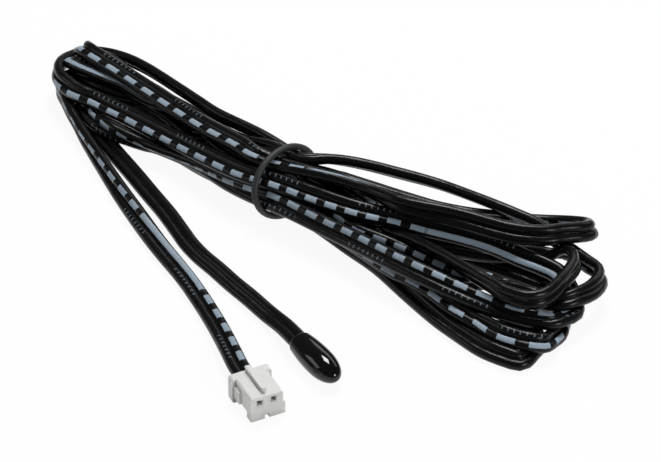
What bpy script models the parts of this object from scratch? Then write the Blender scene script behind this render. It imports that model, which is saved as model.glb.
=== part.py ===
"""Bead thermistor: a resin bead on a flat two-core cord, folded into a tied hank, with a 2-way crimp connector.

Metres, +Z up. The origin is on the ground under the middle of the bead, and +X runs along the bead to its tip.
Sizes are written in millimetres times MM.
"""

import math

import bmesh
import bpy
from mathutils import Matrix, Vector

MM = 0.001

# Bead, moulded round the cord's end
BEAD_LENGTH = 11.8 * MM
BEAD_WIDTH = 5.3 * MM
BEAD_THICKNESS = 4.9 * MM
BEAD_REAR_WIDTH = 4.5 * MM
BEAD_REAR_FILLET = 0.6 * MM
BEAD_NOSE_POWER = 2.3
CORD_IN_BEAD = 2.5 * MM
BEAD_SLOT_CLEARANCE = 0.12 * MM
CORD_STRAIGHT_BEHIND_BEAD = 0.5 * MM

# Sensing chip and its leads, potted in the bead
CHIP_SIDE = 1.6 * MM
CHIP_THICKNESS = 0.6 * MM
CHIP_LEAD_DIAMETER = 0.35 * MM
CHIP_LEAD_LENGTH = 2.2 * MM
CHIP_LEAD_LAP = 1.1 * MM
SOLDER_DIAMETER = 0.95 * MM
SOLDER_LENGTH = 1.0 * MM
CONDUCTOR_DIAMETER = 0.7 * MM
CONDUCTOR_LENGTH = 1.2 * MM
INNER_GAP = 0.3 * MM

# Flat two-core cord
CORE_DIAMETER = 1.92 * MM
CORE_OVERLAP = 0.12 * MM
CORE_SPACING = CORE_DIAMETER - CORE_OVERLAP
CORD_END_GAP = 0.3 * MM
CORE_ARC_POINTS = 7
CORD_POINT_STEP = 4.5 * MM

# Tie, a loop of round cord that stands on the ground
TIE_SECTION = 1.24 * MM
TIE_WIDTH = 15.3 * MM
TIE_HEIGHT = 12.1 * MM
TIE_PLACE = (-42.6 * MM, 19.5 * MM)
TIE_YAW = math.radians(14.0)
TIE_LEAN = math.radians(-15.8)
TIE_CLEARANCE = 0.5 * MM
TIE_POINTS = 44

# Hank: stations along it, each (s, near edge, far edge, bottom, top, corner radius) in millimetres
HANK_YAW = math.radians(21.5)
HANK_STATIONS = (
    (-60.5, 4.5, 8.5, 0.0, 6.0, 1.8),
    (-56.0, 1.3, 11.6, 0.0, 8.6, 2.8),
    (-47.0, -1.2, 14.0, 0.0, 10.0, 3.0),
    (-36.0, -2.5, 13.6, 0.0, 10.3, 3.0),
    (-22.0, -3.4, 10.6, 0.0, 10.8, 3.2),
    (-11.0, -4.6, 7.6, 0.0, 11.4, 3.6),
)
HANK_STATIONS_PAST_TIE = (
    (11.0, -4.8, 8.0, 0.0, 11.2, 3.6),
    (22.0, -6.8, 12.6, 0.0, 10.8, 3.2),
    (36.0, -11.6, 16.6, 0.0, 10.4, 3.0),
    (48.0, -15.8, 18.0, 0.0, 9.8, 3.0),
    (56.5, -16.2, 17.6, 0.0, 8.6, 2.8),
    (62.0, -11.0, 12.0, 0.0, 6.0, 1.8),
)
HANK_WAIST_LENGTH = 6.4 * MM
HANK_CORNER_POINTS = 5
HANK_RING_STEP = 3.0 * MM

# Cord routes, chosen by hand: (x, y, z, roll in degrees), millimetres. Roll 0 lies flat.
BEAD_LEAD = (
    (-9.3, 0.3, 2.0, 0),
    (-12.4, 0.5, 1.55, 0),
    (-17.0, 0.3, 1.1, 0),
    (-22.7, 0.0, 0.98, 0),
    (-27.7, -0.5, 0.98, 0),
    (-32.8, -0.8, 0.98, 0),
    (-37.1, -1.2, 0.98, 0),
    (-41.5, -1.2, 0.98, 0),
    (-45.8, -0.7, 0.98, 0),
    (-51.9, 0.0, 0.98, 0),
    (-58.6, 0.4, 0.98, 0),
    (-66.2, 0.9, 0.98, 0),
    (-73.0, 1.2, 0.98, 0),
    (-78.3, 1.5, 0.98, 0),
)
CONNECTOR_LEAD = (
    (-87.4, -0.6, 2.75, 62),
    (-84.3, -1.2, 2.3, 52),
    (-80.5, -1.7, 1.8, 42),
    (-75.9, -2.4, 1.4, 26),
    (-69.6, -3.3, 1.1, 10),
    (-62.4, -4.3, 0.98, 0),
    (-54.9, -5.1, 0.98, 0),
    (-44.6, -6.0, 0.98, 0),
    (-34.2, -6.6, 0.98, 0),
    (-28.0, -7.3, 0.98, 0),
    (-22.4, -8.2, 1.1, 0),
    (-16.8, -9.4, 1.55, 0),
    (-10.6, -11.0, 2.2, 0),
    (-5.6, -12.3, 2.6, 0),
)

# Connector housing, standing on the ground, mating face to its own +X
HOUSING_PLACE = (-1.7 * MM, -12.75 * MM)
HOUSING_YAW = math.radians(-6.0)
HOUSING_LENGTH = 7.5 * MM
HOUSING_HEIGHT = 4.85 * MM
FLANGE_WIDTH = 7.3 * MM
FLANGE_LENGTH = 1.6 * MM
FLANGE_CORNER = 0.45 * MM
BODY_WIDTH = 5.9 * MM
BODY_CORNER = 0.4 * MM
BODY_LIFT = 0.93 * MM
SHOULDER_WIDTH = 6.7 * MM
SHOULDER_END = 3.7 * MM
SHOULDER_LOW = 1.2 * MM
SHOULDER_HIGH = 3.7 * MM
SKIRT_LENGTH = 1.65 * MM
SKIRT_HEIGHT = 2.4 * MM
SKIRT_STEP = 0.4 * MM
RIB_WIDTH = 1.0 * MM
RIB_HEIGHT = 0.9 * MM
RIB_LENGTH = 6.7 * MM
POLARITY_GROOVE_WIDTH = 0.8 * MM
POLARITY_GROOVE_HEIGHT = 0.75 * MM

# Contact ways through the housing
PITCH = 2.5 * MM
WAY_WIDTH = 2.0 * MM
WAY_LOW = 1.75 * MM
WAY_HIGH = 4.3 * MM
WAY_FRONT_WALL = 0.9 * MM
WAY_MOUTH_WIDTH = 2.2 * MM
WAY_MOUTH_DEPTH = 0.8 * MM
PIN_HOLE_SIDE = 0.95 * MM
PIN_HOLE_HEIGHT = 3.5 * MM
PIN_LEAD_IN = 0.25 * MM
LANCE_WINDOW_START = 3.6 * MM
LANCE_WINDOW_LENGTH = 1.5 * MM
LANCE_WINDOW_WIDTH = 1.2 * MM

# Crimp terminals
SHEET = 0.2 * MM
TERMINAL_CLEARANCE = 0.2 * MM
CONTACT_BOX_WIDTH = 1.5 * MM
CONTACT_BOX_LENGTH = 2.3 * MM
STRIP_WIDTH = 1.1 * MM
CORE_BARREL_DIAMETER = 1.7 * MM
CORE_BARREL_START = 1.0 * MM
CORE_BARREL_LENGTH = 1.0 * MM
STRAND_BARREL_DIAMETER = 1.15 * MM
STRAND_BARREL_START = 2.35 * MM
STRAND_BARREL_LENGTH = 1.1 * MM
CORE_END_NECK = 1.1 * MM
CORE_END_DIAMETER = 1.7 * MM
STRAND_DIAMETER = 0.55 * MM
STRAND_PROUD = 0.3 * MM
CORE_END_START = 0.1 * MM
CORE_BARREL_GAP = 0.3 * MM
CORD_ENTRY_HEIGHT = 2.75 * MM
LANCE_WIDTH = 0.7 * MM
LANCE_DROP = 0.75 * MM

JOIN = 0.05 * MM
ROUND_SIDES = 24

SHAPES = "bead_thermistor"
CUTTERS = "cutters"


def clear_scene():
    for obj in list(bpy.data.objects):
        bpy.data.objects.remove(obj, do_unlink=True)


def make_collection(name):
    collection = bpy.data.collections.new(name)
    bpy.context.scene.collection.children.link(collection)
    return collection


def make_material(name, colour, roughness, metallic=0.0):
    material = bpy.data.materials.new(name)
    material.use_nodes = True
    shader = material.node_tree.nodes["Principled BSDF"]
    shader.inputs["Base Color"].default_value = (*colour, 1.0)
    shader.inputs["Roughness"].default_value = roughness
    shader.inputs["Metallic"].default_value = metallic
    material.diffuse_color = (*colour, 1.0)
    return material


def add_object(name, data, material, parent=None):
    """Puts a shape into the object's collection, or a cutter (no material) into the other one."""
    obj = bpy.data.objects.new(name, data)
    if material:
        bpy.data.collections[SHAPES].objects.link(obj)
        data.materials.append(material)
    else:
        bpy.data.collections[CUTTERS].objects.link(obj)
        obj.hide_render = True
        obj.display_type = "WIRE"
    obj.parent = parent
    return obj


def mesh_from(name, bm):
    bmesh.ops.recalc_face_normals(bm, faces=bm.faces)
    mesh = bpy.data.meshes.new(name)
    bm.to_mesh(mesh)
    bm.free()
    return mesh


def smooth(obj, degrees=35):
    obj.data.shade_smooth()
    obj.data.set_sharp_from_angle(angle=math.radians(degrees))


def box(name, low, high, material=None, parent=None, corner=0.0):
    """A box from its low to its high corner, with its edges along X rounded where a corner is given."""
    low, high = Vector(low), Vector(high)
    bm = bmesh.new()
    size = high - low
    place = Matrix.Translation((low + high) / 2) @ Matrix.Diagonal((*size, 1))
    bmesh.ops.create_cube(bm, size=1.0, matrix=place)
    if corner:
        along = [e for e in bm.edges if abs((e.verts[0].co - e.verts[1].co).x) > size.x / 2]
        bmesh.ops.bevel(bm, geom=along, offset=corner, segments=3, profile=0.5, affect="EDGES")
    return add_object(name, mesh_from(name, bm), material, parent)


def rod(name, start, length, diameter, material=None, parent=None, end_diameter=None):
    """A round bar along +X from its start point, tapered where an end diameter is given."""
    bm = bmesh.new()
    turn = Matrix.Rotation(math.radians(90), 4, "Y")
    middle = Vector(start) + Vector((length / 2, 0, 0))
    bmesh.ops.create_cone(
        bm,
        cap_ends=True,
        segments=ROUND_SIDES,
        radius1=diameter / 2,
        radius2=(end_diameter or diameter) / 2,
        depth=length,
        matrix=Matrix.Translation(middle) @ turn,
    )
    obj = add_object(name, mesh_from(name, bm), material, parent)
    smooth(obj)
    return obj


def combine(target, other, operation):
    modifier = target.modifiers.new(f"{operation.lower()}_{other.name}", "BOOLEAN")
    modifier.operation = operation
    modifier.solver = "EXACT"
    modifier.object = other


def mesh_of_curve(name, curve, matrix):
    """A cutter mesh with the shape of a curve, its loose caps welded on."""
    guide = bpy.data.objects.new(name + "_guide", curve)
    bpy.data.collections[CUTTERS].objects.link(guide)
    guide.matrix_world = matrix
    bpy.context.view_layer.update()
    mesh = bpy.data.meshes.new_from_object(guide.evaluated_get(bpy.context.evaluated_depsgraph_get()))
    bm = bmesh.new()
    bm.from_mesh(mesh)
    bmesh.ops.remove_doubles(bm, verts=bm.verts, dist=1e-6)
    mesh = mesh_from(name, bm)
    bpy.data.objects.remove(guide, do_unlink=True)
    cutter = add_object(name, mesh, None)
    cutter.matrix_world = matrix
    return cutter


def outline_curve(name, points, thickness):
    """A flat outline in its own XY plane, thickened both ways."""
    curve = bpy.data.curves.new(name, "CURVE")
    curve.dimensions = "2D"
    curve.fill_mode = "BOTH"
    curve.extrude = thickness / 2
    spline = curve.splines.new("POLY")
    spline.points.add(len(points) - 1)
    for point, (x, y) in zip(spline.points, points):
        point.co = (x, y, 0, 1)
    spline.use_cyclic_u = True
    return curve


def arc(centre, radius, start, end, count):
    """Points on an arc, angles in radians."""
    angles = [start + (end - start) * i / (count - 1) for i in range(count)]
    return [(centre[0] + radius * math.cos(a), centre[1] + radius * math.sin(a)) for a in angles]


def twin_outline(grow=0.0, count=CORE_ARC_POINTS):
    """The cord's section: two round cores side by side, joined by the web where they meet."""
    radius = CORE_DIAMETER / 2 + grow
    half = CORE_SPACING / 2
    meet = math.acos(half / radius)
    right = arc((half, 0), radius, -math.pi + meet, math.pi - meet, count)
    left = arc((-half, 0), radius, meet, 2 * math.pi - meet, count)
    return right[:-1] + left[:-1]


def smooth_points(points, step):
    """Points a step apart on a Catmull-Rom curve through the given ones, with as many values each."""
    rows = [Vector(p[:3]) for p in points]
    extra = [p[3] if len(p) > 3 else 0.0 for p in points]
    found = []
    for i in range(len(points) - 1):
        a, b, c, d = (max(0, min(len(points) - 1, i + k)) for k in (-1, 0, 1, 2))
        pieces = max(1, round((rows[c] - rows[b]).length / step))
        for k in range(pieces):
            t = k / pieces
            weights = (
                -0.5 * t + t * t - 0.5 * t**3,
                1 - 2.5 * t * t + 1.5 * t**3,
                0.5 * t + 2 * t * t - 1.5 * t**3,
                -0.5 * t * t + 0.5 * t**3,
            )
            place = sum((w * rows[j] for w, j in zip(weights, (a, b, c, d))), Vector((0, 0, 0)))
            roll = sum(w * extra[j] for w, j in zip(weights, (a, b, c, d)))
            found.append((place, roll))
    found.append((rows[-1], extra[-1]))
    return found


def lead(name, route, profile, material):
    """A stretch of the cord through its route's points, rolled about its own line."""
    curve = bpy.data.curves.new(name, "CURVE")
    curve.dimensions = "3D"
    curve.twist_mode = "Z_UP"
    curve.bevel_mode = "OBJECT"
    curve.bevel_object = profile
    curve.use_fill_caps = True
    points = smooth_points([(x * MM, y * MM, z * MM, roll) for x, y, z, roll in route], CORD_POINT_STEP)
    spline = curve.splines.new("POLY")
    spline.points.add(len(points) - 1)
    for point, (place, roll) in zip(spline.points, points):
        point.co = (*place, 1)
        point.tilt = math.radians(roll)
    spline.use_smooth = True
    return add_object(name, curve, material)


def bead_radius(x):
    """Half the bead's width at x, measured from its middle along its axis."""
    half_length = BEAD_LENGTH / 2
    widest = BEAD_WIDTH / 2
    rear = BEAD_REAR_WIDTH / 2
    if x >= 0:
        return widest * math.sqrt(max(0.0, 1 - (x / half_length) ** BEAD_NOSE_POWER))
    rim = half_length - BEAD_REAR_FILLET
    flank = widest - (widest - rear) * (min(-x, rim) / rim) ** 2
    past = max(0.0, -x - rim)
    return flank - BEAD_REAR_FILLET * (1 - math.sqrt(max(0.0, 1 - (past / BEAD_REAR_FILLET) ** 2))) * 0.5


def make_bead(material):
    """A turned form, flattened a little, with its axis along X and its underside on the ground."""
    half_length = BEAD_LENGTH / 2
    count = 26
    stations = [-half_length * math.cos(math.pi * i / count) for i in range(count + 1)]
    bm = bmesh.new()
    outline = [bm.verts.new((0, 0, -half_length))]
    for x in stations[:-1]:
        outline.append(bm.verts.new((bead_radius(x), 0, x)))
    outline.append(bm.verts.new((0, 0, half_length)))
    for first, second in zip(reversed(outline[1:]), reversed(outline[:-1])):
        bm.edges.new((first, second))
    mesh = bpy.data.meshes.new("sensor_bead")
    bm.to_mesh(mesh)
    bm.free()
    bead = add_object("sensor_bead", mesh, material)
    bead.rotation_euler = (0, math.radians(90), 0)
    bead.scale = (BEAD_THICKNESS / BEAD_WIDTH, 1, 1)
    bead.location = (0, 0, BEAD_THICKNESS / 2)
    screw = bead.modifiers.new("turn", "SCREW")
    screw.steps = screw.render_steps = 32
    screw.use_merge_vertices = True
    screw.merge_threshold = 1e-6
    smooth(bead)
    return bead


def make_sensor(materials, profile):
    """The bead, and in its pocket the chip, its leads, the solder joints and the conductors."""
    middle = BEAD_THICKNESS / 2
    rear = -BEAD_LENGTH / 2
    cord_end = rear + CORD_IN_BEAD
    conductor_start = cord_end + INNER_GAP
    solder_start = conductor_start + CONDUCTOR_LENGTH + INNER_GAP
    lead_start = solder_start + SOLDER_LENGTH + INNER_GAP
    chip_start = lead_start + CHIP_LEAD_LENGTH - CHIP_LEAD_LAP
    side = CHIP_THICKNESS / 2 + INNER_GAP + CHIP_LEAD_DIAMETER / 2

    for letter, way in (("a", 1), ("b", -1)):
        rod(
            f"conductor_{letter}",
            (conductor_start, way * CORE_SPACING / 2, middle),
            CONDUCTOR_LENGTH,
            CONDUCTOR_DIAMETER,
            materials["copper"],
        )
        rod(
            f"solder_joint_{letter}",
            (solder_start, way * side, middle),
            SOLDER_LENGTH,
            SOLDER_DIAMETER,
            materials["solder"],
            end_diameter=SOLDER_DIAMETER * 0.7,
        )
        rod(
            f"chip_lead_{letter}",
            (lead_start, way * side, middle),
            CHIP_LEAD_LENGTH,
            CHIP_LEAD_DIAMETER,
            materials["solder"],
        )
    half_chip = CHIP_SIDE / 2
    chip_end = chip_start + CHIP_SIDE
    box(
        "thermistor_chip",
        (chip_start, -CHIP_THICKNESS / 2, middle - half_chip),
        (chip_end, CHIP_THICKNESS / 2, middle + half_chip),
        materials["chip"],
    )

    bead = make_bead(materials["resin"])
    slot_outline = twin_outline(BEAD_SLOT_CLEARANCE, 9)
    slot_depth = CORD_IN_BEAD + INNER_GAP
    turn = Matrix.Rotation(math.radians(90), 4, "Z") @ Matrix.Rotation(math.radians(90), 4, "X")
    slot_middle = rear + slot_depth / 2 - BEAD_REAR_FILLET
    slot = mesh_of_curve(
        "bead_slot",
        outline_curve("bead_slot", slot_outline, slot_depth + 2 * BEAD_REAR_FILLET),
        Matrix.Translation((slot_middle, 0, middle)) @ turn,
    )
    pocket_side = side + SOLDER_DIAMETER / 2 + INNER_GAP
    pocket_height = half_chip + INNER_GAP
    pocket = box(
        "chip_pocket",
        (cord_end, -pocket_side, middle - pocket_height),
        (chip_end + INNER_GAP, pocket_side, middle + pocket_height),
    )
    combine(bead, slot, "DIFFERENCE")
    combine(bead, pocket, "DIFFERENCE")

    inside = (cord_end / MM, 0.0, middle / MM, 0)
    at_rim = ((rear - CORD_STRAIGHT_BEHIND_BEAD) / MM, 0.0, middle / MM, 0)
    lead("cord_to_bead", (inside, at_rim) + BEAD_LEAD, profile, materials["cord"])


def make_tie(material):
    """A closed oval loop of round cord, leaning back a little, its lowest side on the ground."""
    half_width = TIE_WIDTH / 2
    half_height = TIE_HEIGHT / 2
    curve = bpy.data.curves.new("tie_ring", "CURVE")
    curve.dimensions = "3D"
    curve.bevel_depth = TIE_SECTION / 2
    curve.bevel_resolution = 3
    spline = curve.splines.new("POLY")
    spline.points.add(TIE_POINTS - 1)
    for i, point in enumerate(spline.points):
        angle = 2 * math.pi * i / TIE_POINTS
        point.co = (0, half_width * math.cos(angle), half_height * math.sin(angle), 1)
    spline.use_cyclic_u = True
    spline.use_smooth = True
    ring = add_object("tie_ring", curve, material)
    ring.location = (*TIE_PLACE, tie_centre_height())
    ring.rotation_euler = (0, TIE_LEAN, TIE_YAW)
    return ring


def tie_centre_height():
    return TIE_HEIGHT / 2 * math.cos(TIE_LEAN) + TIE_SECTION / 2


def rounded_section(near, far, low, high, side_corner, rise_corner, count):
    """A closed rounded rectangle in the hank's cross plane, as (across, up) points.

    The corners are quarter ellipses, so a waist with corners as big as it allows is an oval.
    """
    side_corner = min(side_corner, (far - near) / 2 - JOIN)
    rise_corner = min(rise_corner, (high - low) / 2 - JOIN)
    centres = (
        (far - side_corner, low + rise_corner, -90),
        (far - side_corner, high - rise_corner, 0),
        (near + side_corner, high - rise_corner, 90),
        (near + side_corner, low + rise_corner, 180),
    )
    points = []
    for across, up, start in centres:
        quarter = arc((0, 0), 1.0, math.radians(start), math.radians(start + 90), count)
        points += [(across + side_corner * x, up + rise_corner * y) for x, y in quarter]
    return points


def hank_stations():
    """All the stations in metres, with the waist under the tie worked out from the tie."""
    half_width = (TIE_WIDTH - TIE_SECTION) / 2 - TIE_CLEARANCE
    half_height = (TIE_HEIGHT - TIE_SECTION) / 2 * math.cos(TIE_LEAN) - TIE_CLEARANCE
    middle = tie_centre_height()
    waist = (-half_width, half_width, middle - half_height, middle + half_height, half_width, half_height)
    before = [tuple(v * MM for v in (*row, row[-1])) for row in HANK_STATIONS]
    after = [tuple(v * MM for v in (*row, row[-1])) for row in HANK_STATIONS_PAST_TIE]
    half = HANK_WAIST_LENGTH / 2
    return before + [(-half, *waist), (half, *waist)] + after


def make_hank(material):
    """A loft through the stations: the outer form of the twelve folded passes, drawn in at the tie."""
    stations = hank_stations()
    rings = []
    for first, second in zip(stations[:-1], stations[1:]):
        pieces = max(1, round((second[0] - first[0]) / HANK_RING_STEP))
        for k in range(pieces):
            t = k / pieces
            eased = t * t * (3 - 2 * t)
            row = [a + (b - a) * eased for a, b in zip(first, second)]
            row[0] = first[0] + (second[0] - first[0]) * t
            rings.append(row)
    rings.append(list(stations[-1]))

    bm = bmesh.new()
    loops = []
    for s, *edges_and_corners in rings:
        section = rounded_section(*edges_and_corners, HANK_CORNER_POINTS)
        loops.append([bm.verts.new((s, across, up)) for across, up in section])
    for first, second in zip(loops[:-1], loops[1:]):
        for i in range(len(first)):
            j = (i + 1) % len(first)
            bm.faces.new((first[i], first[j], second[j], second[i]))
    bm.faces.new(loops[0])
    bm.faces.new(loops[-1])
    hank = add_object("cord_hank", mesh_from("cord_hank", bm), material)
    hank.location = (*TIE_PLACE, 0)
    hank.rotation_euler = (0, 0, HANK_YAW)
    smooth(hank)
    return hank


def make_housing(material, frame):
    """One nylon moulding: rear flange, body, shoulders, front skirt and top rib, cut by two contact ways."""
    half_flange = FLANGE_WIDTH / 2
    half_body = BODY_WIDTH / 2
    half_shoulder = SHOULDER_WIDTH / 2
    skirt_start = HOUSING_LENGTH - SKIRT_LENGTH
    top = HOUSING_HEIGHT

    housing = box(
        "connector_housing",
        (0, -half_flange, 0),
        (FLANGE_LENGTH, half_flange, top),
        material,
        frame,
        FLANGE_CORNER,
    )
    body = box(
        "body_form",
        (FLANGE_LENGTH - JOIN, -half_body, BODY_LIFT),
        (HOUSING_LENGTH, half_body, top),
        None,
        frame,
        BODY_CORNER,
    )
    shoulders = box(
        "shoulder_form",
        (FLANGE_LENGTH - JOIN, -half_shoulder, SHOULDER_LOW),
        (SHOULDER_END, half_shoulder, SHOULDER_HIGH),
        None,
        frame,
    )
    skirt = box(
        "skirt_form",
        (skirt_start, -half_body, 0),
        (HOUSING_LENGTH, half_body + SKIRT_STEP, SKIRT_HEIGHT),
        None,
        frame,
    )
    half_rib = RIB_WIDTH / 2
    nose = arc((RIB_LENGTH - half_rib, 0), half_rib, math.radians(-90), math.radians(90), 9)
    rib_outline = [(0, half_rib), (0, -half_rib)] + nose
    rib_thickness = RIB_HEIGHT + 2 * JOIN
    rib = mesh_of_curve(
        "rib_form",
        outline_curve("rib_form", rib_outline, rib_thickness),
        frame.matrix_world @ Matrix.Translation((0, 0, top + RIB_HEIGHT - rib_thickness / 2)),
    )
    for other in (body, shoulders, skirt, rib):
        combine(housing, other, "UNION")

    groove = box(
        "polarity_groove",
        (skirt_start - JOIN, -POLARITY_GROOVE_WIDTH / 2, -JOIN),
        (HOUSING_LENGTH + 3 * JOIN, POLARITY_GROOVE_WIDTH / 2, POLARITY_GROOVE_HEIGHT),
        None,
        frame,
    )
    cutters = [groove]
    way_end = HOUSING_LENGTH - WAY_FRONT_WALL
    for letter, way in (("a", 1), ("b", -1)):
        y = way * PITCH / 2
        cutters.append(
            box(
                f"way_{letter}",
                (-JOIN, y - WAY_WIDTH / 2, WAY_LOW),
                (way_end, y + WAY_WIDTH / 2, WAY_HIGH),
                None,
                frame,
            )
        )
        cutters.append(
            box(
                f"way_mouth_{letter}",
                (-JOIN, y - WAY_MOUTH_WIDTH / 2, WAY_LOW - PIN_LEAD_IN),
                (WAY_MOUTH_DEPTH, y + WAY_MOUTH_WIDTH / 2, WAY_HIGH + JOIN),
                None,
                frame,
            )
        )
        half_pin = PIN_HOLE_SIDE / 2
        cutters.append(
            box(
                f"pin_hole_{letter}",
                (way_end - JOIN, y - half_pin, PIN_HOLE_HEIGHT - half_pin),
                (HOUSING_LENGTH + 3 * JOIN, y + half_pin, PIN_HOLE_HEIGHT + half_pin),
                None,
                frame,
            )
        )
        cutters.append(pin_lead_in(f"pin_lead_in_{letter}", y, frame))
        cutters.append(
            box(
                f"lance_window_{letter}",
                (LANCE_WINDOW_START, y - LANCE_WINDOW_WIDTH / 2, -JOIN),
                (
                    LANCE_WINDOW_START + LANCE_WINDOW_LENGTH,
                    y + LANCE_WINDOW_WIDTH / 2,
                    WAY_LOW + JOIN,
                ),
                None,
                frame,
            )
        )
    for cutter in cutters:
        combine(housing, cutter, "DIFFERENCE")
    return housing


def pin_lead_in(name, y, frame):
    """The square funnel in the mating face that guides a pin into its hole."""
    bm = bmesh.new()
    narrow = (PIN_HOLE_SIDE - 2 * JOIN) / math.sqrt(2)
    wide = (PIN_HOLE_SIDE + 2 * PIN_LEAD_IN + 2 * JOIN) / math.sqrt(2)
    depth = PIN_LEAD_IN + 2 * JOIN
    turn = Matrix.Rotation(math.radians(90), 4, "Y") @ Matrix.Rotation(math.radians(45), 4, "Z")
    middle = Vector((HOUSING_LENGTH + 2 * JOIN - depth / 2, y, PIN_HOLE_HEIGHT))
    bmesh.ops.create_cone(
        bm,
        cap_ends=True,
        segments=4,
        radius1=narrow,
        radius2=wide,
        depth=depth,
        matrix=Matrix.Translation(middle) @ turn,
    )
    return add_object(name, mesh_from(name, bm), None, frame)


def make_terminal(letter, y, material, frame):
    """A stamped contact: box for the pin, floor strip, strand barrel, core barrel, and the lance under the box."""
    name = f"crimp_terminal_{letter}"
    floor = WAY_LOW + TERMINAL_CLEARANCE
    box_end = HOUSING_LENGTH - WAY_FRONT_WALL - TERMINAL_CLEARANCE
    box_start = box_end - CONTACT_BOX_LENGTH
    half_box = CONTACT_BOX_WIDTH / 2
    box_top = WAY_HIGH - TERMINAL_CLEARANCE

    terminal = box(name, (box_start, y - half_box, floor), (box_end, y + half_box, box_top), material, frame)
    strip = box(
        f"strip_{letter}",
        (CORE_BARREL_START + JOIN, y - STRIP_WIDTH / 2, floor + JOIN / 2),
        (box_start + JOIN, y + STRIP_WIDTH / 2, floor + SHEET - JOIN / 2),
        None,
        frame,
    )
    core_barrel = rod(
        f"core_barrel_{letter}",
        (CORE_BARREL_START, y, floor + CORE_BARREL_DIAMETER / 2),
        CORE_BARREL_LENGTH,
        CORE_BARREL_DIAMETER,
        None,
        frame,
    )
    strand_barrel = rod(
        f"strand_barrel_{letter}",
        (STRAND_BARREL_START, y, floor + STRAND_BARREL_DIAMETER / 2 + JOIN),
        STRAND_BARREL_LENGTH,
        STRAND_BARREL_DIAMETER,
        None,
        frame,
    )
    lance = lance_form(f"lance_{letter}", y, floor, box_start, frame)
    for other in (strip, core_barrel, strand_barrel, lance):
        combine(terminal, other, "UNION")

    hollow = box(
        f"contact_hollow_{letter}",
        (box_start - JOIN, y - half_box + SHEET, floor + SHEET),
        (box_end + JOIN, y + half_box - SHEET, box_top - SHEET),
        None,
        frame,
    )
    core_bore = rod(
        f"core_bore_{letter}",
        (CORE_BARREL_START - JOIN, y, floor + CORE_BARREL_DIAMETER / 2),
        CORE_BARREL_LENGTH + 2 * JOIN,
        CORE_BARREL_DIAMETER - 2 * SHEET,
        None,
        frame,
    )
    strand_bore = rod(
        f"strand_bore_{letter}",
        (STRAND_BARREL_START - JOIN, y, floor + STRAND_BARREL_DIAMETER / 2 + JOIN),
        STRAND_BARREL_LENGTH + 2 * JOIN,
        STRAND_BARREL_DIAMETER - 2 * SHEET,
        None,
        frame,
    )
    for cutter in (hollow, core_bore, strand_bore):
        combine(terminal, cutter, "DIFFERENCE")
    return floor


def lance_form(name, y, floor, box_start, frame):
    """The sprung tongue that drops into the housing's window and stops the terminal from pulling out."""
    run = LANCE_WINDOW_LENGTH - 2 * TERMINAL_CLEARANCE
    start = LANCE_WINDOW_START + TERMINAL_CLEARANCE
    root = SHEET - JOIN
    outline = (
        (start, -LANCE_DROP),
        (start + SHEET, -LANCE_DROP),
        (start + run, root - SHEET / 2),
        (start + run, root),
        (start + run - SHEET, root),
    )
    turn = Matrix.Rotation(math.radians(90), 4, "X")
    return mesh_of_curve(
        name,
        outline_curve(name, outline, LANCE_WIDTH),
        frame.matrix_world @ Matrix.Translation((0, y, floor)) @ turn,
    )


def make_core_end(letter, y, floor, materials, frame):
    """The insulated end of one core, squeezed thinner in its barrel, and the bare strands past it."""
    height = floor + CORE_BARREL_DIAMETER / 2
    name = f"core_end_{letter}"
    core = rod(
        name,
        (CORE_END_START, y, height),
        CORE_BARREL_START - CORE_BARREL_GAP - CORE_END_START,
        CORE_END_DIAMETER,
        materials["cord"],
        frame,
    )
    neck = rod(
        f"core_neck_{letter}",
        (2 * CORE_END_START, y, height),
        CORE_BARREL_START + CORE_BARREL_LENGTH - 2 * CORE_END_START,
        CORE_END_NECK,
        None,
        frame,
    )
    combine(core, neck, "UNION")
    strand_height = floor + STRAND_BARREL_DIAMETER / 2 + JOIN
    rod(
        f"strand_end_{letter}",
        (STRAND_BARREL_START - JOIN, y, strand_height),
        STRAND_BARREL_LENGTH + STRAND_PROUD,
        STRAND_DIAMETER,
        materials["copper"],
        frame,
    )


def main():
    clear_scene()
    make_collection(SHAPES)
    make_collection(CUTTERS)
    materials = {
        "resin": make_material("epoxy_resin", (0.006, 0.006, 0.007), 0.08),
        "cord": make_material("pvc_cord", (0.010, 0.010, 0.011), 0.45),
        "tie": make_material("rubber_tie", (0.022, 0.022, 0.023), 0.75),
        "nylon": make_material("natural_nylon", (0.80, 0.80, 0.78), 0.42),
        "brass": make_material("tinned_brass", (0.78, 0.74, 0.66), 0.3, 1.0),
        "copper": make_material("copper_strand", (0.72, 0.37, 0.24), 0.35, 1.0),
        "solder": make_material("tin_solder", (0.62, 0.62, 0.64), 0.3, 1.0),
        "chip": make_material("oxide_ceramic", (0.10, 0.09, 0.09), 0.6),
    }

    profile_curve = outline_curve("cord_section", twin_outline()[::-1], 0.0)
    profile_curve.fill_mode = "NONE"
    profile = bpy.data.objects.new("cord_section", profile_curve)
    bpy.data.collections[CUTTERS].objects.link(profile)
    profile.hide_render = True
    profile.display_type = "WIRE"

    frame = bpy.data.objects.new("connector_frame", None)
    bpy.data.collections[SHAPES].objects.link(frame)
    frame.location = (*HOUSING_PLACE, 0)
    frame.rotation_euler = (0, 0, HOUSING_YAW)
    bpy.context.view_layer.update()

    make_sensor(materials, profile)
    make_hank(materials["cord"])
    make_tie(materials["tie"])
    make_housing(materials["nylon"], frame)
    for letter, way in (("a", 1), ("b", -1)):
        y = way * PITCH / 2
        floor = make_terminal(letter, y, materials["brass"], frame)
        make_core_end(letter, y, floor, materials, frame)
    rear = frame.matrix_world @ Vector((-CORD_END_GAP, 0, CORD_ENTRY_HEIGHT))
    end = (rear.x / MM, rear.y / MM, rear.z / MM, 0)
    lead("cord_to_connector", CONNECTOR_LEAD + (end,), profile, materials["cord"])


main()
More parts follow.
